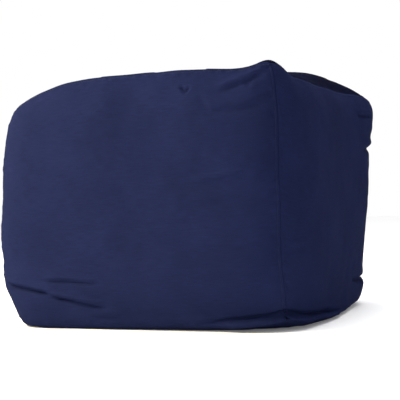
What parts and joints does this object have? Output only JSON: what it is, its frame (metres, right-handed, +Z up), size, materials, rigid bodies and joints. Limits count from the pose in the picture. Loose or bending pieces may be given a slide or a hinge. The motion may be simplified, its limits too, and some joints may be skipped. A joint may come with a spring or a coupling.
{
  "type": "bean bag chair",
  "caption": "Cube-shaped bean bag chair: canvas cover with a stretch-knit top and a working zip low on the back, over a beaded inner liner.",
  "frame": {"origin": "on the floor, under the middle of the bag's bounding box", "axes": "+Z up, -Y towards the front panel, +X towards the panel on the viewer's right of it; the zip is low on the back, +Y"},
  "size_m": [0.68, 0.65, 0.5158],
  "materials": {
    "canvas": "matte navy cotton canvas",
    "knit": "matte dark navy stretch knit",
    "liner": "plain off-white lining cloth",
    "beads": "expanded polystyrene beads",
    "zip_tape": "woven polyester tape",
    "zip_coil": "nylon coil",
    "metal": "nickel-plated zinc, lightly worn",
    "label": "blank satin care label"
  },
  "bodies": {
    "bag": {"cover_front_panel": "canvas", "cover_right_panel": "canvas", "cover_left_panel": "canvas", "cover_back_panel": "canvas", "cover_back_zip_strip": "canvas", "cover_bottom_panel": "canvas", "cover_top_panel": "knit", "liner_front_panel": "liner", "liner_right_panel": "liner", "liner_left_panel": "liner", "liner_top_panel": "liner", "liner_bottom_panel": "liner", "liner_back_upper_panel": "liner", "liner_back_lower_panel": "liner", "bead_fill": "beads", "zip_tape_upper": "zip_tape", "zip_tape_lower": "zip_tape", "zip_coil_upper": "zip_coil", "zip_coil_lower": "zip_coil", "zip_top_stop_upper": "metal", "zip_top_stop_lower": "metal", "zip_bottom_stop": "metal", "liner_zip_tape_upper": "zip_tape", "liner_zip_tape_lower": "zip_tape", "liner_zip_coil_upper": "zip_coil", "liner_zip_coil_lower": "zip_coil", "liner_zip_top_stop_upper": "metal", "liner_zip_top_stop_lower": "metal", "liner_zip_bottom_stop": "metal", "care_label": "label"},
    "zip_slider": {"zip_slider": "metal"},
    "zip_pull_tab": {"zip_pull_tab": "metal"},
    "liner_zip_slider": {"liner_zip_slider": "metal"}
  },
  "joints": [
    {"name": "zip_travel", "type": "slide", "parent": "bag", "child": "zip_slider", "axis": [-1, 0, 0], "range_m": [0, 0.4294]},
    {"name": "pull_tab_hinge", "type": "hinge", "parent": "zip_slider", "child": "zip_pull_tab", "pos_m": [0.2147, 0.32105, 0.06], "axis": [0, 0, -1], "range_deg": [0, 175]},
    {"name": "liner_zip_travel", "type": "slide", "parent": "bag", "child": "liner_zip_slider", "axis": [-1, 0, 0], "range_m": [0, 0.2694]}
  ]
}
